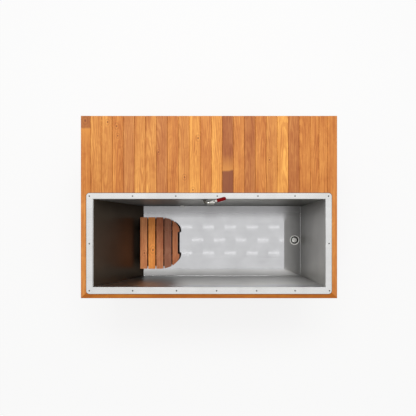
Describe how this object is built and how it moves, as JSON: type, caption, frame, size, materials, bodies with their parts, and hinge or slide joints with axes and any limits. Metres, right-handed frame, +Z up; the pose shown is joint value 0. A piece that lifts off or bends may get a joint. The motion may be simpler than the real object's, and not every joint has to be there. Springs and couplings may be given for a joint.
{
  "type": "cold plunge tub",
  "caption": "Cedar-cased stainless plunge bath with a sloped backrest, lift-out slatted seat, floor drain, lever valve and a boarded deck over its chiller.",
  "frame": {"origin": "on the ground under the middle of the casing's plan", "axes": "+X along the bath to the drain end, +Y to the deck at the back, +Z up"},
  "size_m": [1.8, 1.28, 0.8065],
  "materials": {
    "stainless": "brushed stainless sheet",
    "fittings": "polished stainless fittings",
    "lever_vinyl": "dipped red vinyl",
    "cedar_deck": "oiled cedar boards",
    "cedar_cladding": "oiled cedar boards",
    "cedar_seat": "damp cedar slats",
    "base_timber": "treated softwood and plywood",
    "frame_paint": "black powder coat",
    "foam": "sprayed foam",
    "pipe_plastic": "grey-white pipe",
    "black_plastic": "moulded black plastic",
    "chiller_paint": "grey powder coat"
  },
  "bodies": {
    "casing": {"tub_liner": "stainless", "drain_body": "fittings", "suction_fitting": "fittings", "return_elbow": "fittings", "valve_body": "fittings", "deck_board_1": "cedar_deck", "deck_board_2": "cedar_deck", "deck_board_3": "cedar_deck", "deck_board_4": "cedar_deck", "deck_board_5": "cedar_deck", "deck_board_6": "cedar_deck", "deck_board_7": "cedar_deck", "deck_board_8": "cedar_deck", "deck_board_9": "cedar_deck", "deck_board_10": "cedar_deck", "deck_board_11": "cedar_deck", "deck_board_12": "cedar_deck", "deck_board_13": "cedar_deck", "deck_board_14": "cedar_deck", "deck_board_15": "cedar_deck", "deck_board_16": "cedar_deck", "deck_board_17": "cedar_deck", "deck_board_18": "cedar_deck", "deck_board_19": "cedar_deck", "deck_board_20": "cedar_deck", "deck_board_21": "cedar_deck", "deck_board_22": "cedar_deck", "left_cap": "cedar_deck", "right_cap": "cedar_deck", "front_cap": "cedar_deck", "front_cladding": "cedar_cladding", "back_cladding": "cedar_cladding", "left_cladding": "cedar_cladding", "right_cladding": "cedar_cladding", "rear_louvre": "cedar_cladding", "base_panel": "base_timber", "skid_front": "base_timber", "skid_middle": "base_timber", "skid_back": "base_timber", "frame": "frame_paint", "fan_guard": "frame_paint", "foam_jacket": "foam", "drain_pipe": "pipe_plastic", "suction_pipe": "pipe_plastic", "return_pipe": "pipe_plastic", "filter_housing": "pipe_plastic", "pump": "black_plastic", "filter_lid": "black_plastic", "chiller_casing": "chiller_paint"},
    "seat": {"seat_slat_1": "cedar_seat", "seat_slat_2": "cedar_seat", "seat_slat_3": "cedar_seat", "seat_slat_4": "cedar_seat", "seat_slat_5": "cedar_seat", "seat_bearer_front": "cedar_seat", "seat_bearer_back": "cedar_seat"},
    "lever": {"valve_lever": "fittings", "lever_sleeve": "lever_vinyl"},
    "stopper": {"drain_stopper": "fittings"},
    "fan": {"fan": "black_plastic"}
  },
  "joints": [
    {"name": "seat_lift", "type": "slide", "parent": "casing", "child": "seat", "axis": [0, 0, 1], "range_m": [0, 0.68]},
    {"name": "lever_turn", "type": "hinge", "parent": "casing", "child": "lever", "pos_m": [0.014, 0.033, 0.79], "axis": [0, 0, 1], "range_deg": [-15, 75]},
    {"name": "stopper_lift", "type": "slide", "parent": "casing", "child": "stopper", "axis": [0, 0, 1], "range_m": [0, 0.012]},
    {"name": "fan_spin", "type": "hinge", "parent": "casing", "child": "fan", "pos_m": [0.37, 0.5, 0.3276], "axis": [0, 1, 0], "continuous": true}
  ]
}
